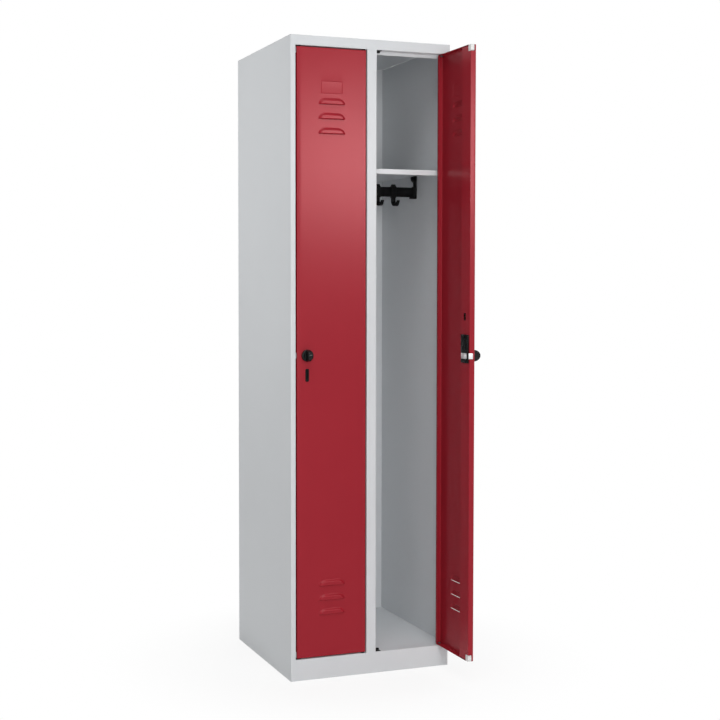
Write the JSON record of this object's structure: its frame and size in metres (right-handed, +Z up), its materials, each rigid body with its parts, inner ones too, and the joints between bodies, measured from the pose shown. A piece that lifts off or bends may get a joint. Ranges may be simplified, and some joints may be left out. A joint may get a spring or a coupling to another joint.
{
  "type": "metal locker",
  "caption": "Tall sheet-steel clothes locker with louvred doors, hat shelves, coat rails with sliding hooks, and turn latches that drive a bolt.",
  "frame": {"origin": "on the floor at mid-width of the front face", "axes": "+X to the right seen from the front, +Y from the front to the back, +Z up"},
  "size_m": [0.5145, 0.701, 1.85],
  "materials": {
    "grey_paint": "light grey satin powder coat",
    "red_paint": "ruby red satin powder coat",
    "black_plastic": "moulded black plastic",
    "white_plastic": "moulded white plastic",
    "zinc": "bright zinc plate",
    "cast_alloy": "bright cast alloy",
    "rubber": "matt black rubber"
  },
  "bodies": {
    "cabinet": {"left_side_panel": "grey_paint", "right_side_panel": "grey_paint", "roof_panel": "grey_paint", "floor_panel": "grey_paint", "back_panel": "grey_paint", "centre_post": "grey_paint", "centre_partition": "grey_paint", "left_hat_shelf": "grey_paint", "left_coat_rail": "black_plastic", "left_first_rail_screw": "zinc", "left_second_rail_screw": "zinc", "left_upper_hinge_bush": "black_plastic", "left_upper_door_buffer": "rubber", "left_lower_hinge_bush": "black_plastic", "left_lower_door_buffer": "rubber", "right_hat_shelf": "grey_paint", "right_coat_rail": "black_plastic", "right_first_rail_screw": "zinc", "right_second_rail_screw": "zinc", "right_upper_hinge_bush": "black_plastic", "right_upper_door_buffer": "rubber", "right_lower_hinge_bush": "black_plastic", "right_lower_door_buffer": "rubber"},
    "left_door": {"left_door_panel": "red_paint", "left_door_stiffener": "red_paint", "left_lock_case": "black_plastic", "left_slot_insert": "black_plastic", "left_upper_corner_plug": "white_plastic", "left_upper_hinge_pin": "zinc", "left_lower_corner_plug": "white_plastic", "left_lower_hinge_pin": "zinc"},
    "left_knob_set": {"left_knob": "black_plastic", "left_spindle": "zinc"},
    "left_bolt": {"left_latch_bolt": "cast_alloy"},
    "left_hook_1": {"left_coat_hook_1": "black_plastic"},
    "left_hook_2": {"left_coat_hook_2": "black_plastic"},
    "left_hook_3": {"left_coat_hook_3": "black_plastic"},
    "right_door": {"right_door_panel": "red_paint", "right_door_stiffener": "red_paint", "right_lock_case": "black_plastic", "right_slot_insert": "black_plastic", "right_upper_corner_plug": "white_plastic", "right_upper_hinge_pin": "zinc", "right_lower_corner_plug": "white_plastic", "right_lower_hinge_pin": "zinc"},
    "right_knob_set": {"right_knob": "black_plastic", "right_spindle": "zinc"},
    "right_bolt": {"right_latch_bolt": "cast_alloy"},
    "right_hook_1": {"right_coat_hook_1": "black_plastic"},
    "right_hook_2": {"right_coat_hook_2": "black_plastic"},
    "right_hook_3": {"right_coat_hook_3": "black_plastic"}
  },
  "joints": [
    {"name": "left_door_hinge", "type": "hinge", "parent": "cabinet", "child": "left_door", "pos_m": [-0.0245, 0.007, 0.9415], "axis": [0, 0, 1], "range_deg": [0, 105]},
    {"name": "right_door_hinge", "type": "hinge", "parent": "cabinet", "child": "right_door", "pos_m": [0.2255, 0.007, 0.9415], "axis": [0, 0, 1], "range_deg": [-90, 15]},
    {"name": "left_knob_turn", "type": "hinge", "parent": "left_door", "child": "left_knob_set", "pos_m": [-0.2005, 0, 0.94], "axis": [0, -1, 0], "range_deg": [0, 90]},
    {"name": "right_knob_turn", "type": "hinge", "parent": "right_door", "child": "right_knob_set", "pos_m": [0.2325, -0.169, 0.94], "axis": [1, 0, 0], "range_deg": [0, 90]},
    {"name": "left_bolt_slide", "type": "slide", "parent": "left_door", "child": "left_bolt", "axis": [-1, 0, 0], "range_m": [0, 0.0078]},
    {"name": "right_bolt_slide", "type": "slide", "parent": "right_door", "child": "right_bolt", "axis": [0, -1, 0], "range_m": [0, 0.0078]},
    {"name": "left_hook_1_slide", "type": "slide", "parent": "cabinet", "child": "left_hook_1", "axis": [1, 0, 0], "range_m": [-0.033, 0.014]},
    {"name": "left_hook_2_slide", "type": "slide", "parent": "cabinet", "child": "left_hook_2", "axis": [1, 0, 0], "range_m": [-0.014, 0.014]},
    {"name": "left_hook_3_slide", "type": "slide", "parent": "cabinet", "child": "left_hook_3", "axis": [1, 0, 0], "range_m": [-0.014, 0.045]},
    {"name": "right_hook_1_slide", "type": "slide", "parent": "cabinet", "child": "right_hook_1", "axis": [1, 0, 0], "range_m": [-0.033, 0.014]},
    {"name": "right_hook_2_slide", "type": "slide", "parent": "cabinet", "child": "right_hook_2", "axis": [1, 0, 0], "range_m": [-0.014, 0.014]},
    {"name": "right_hook_3_slide", "type": "slide", "parent": "cabinet", "child": "right_hook_3", "axis": [1, 0, 0], "range_m": [-0.014, 0.045]}
  ],
  "couplings": [
    {"joint": "left_bolt_slide", "follows": "left_knob_turn", "m_per_rad": 0.0049517},
    {"joint": "right_bolt_slide", "follows": "right_knob_turn", "m_per_rad": 0.0049517}
  ]
}
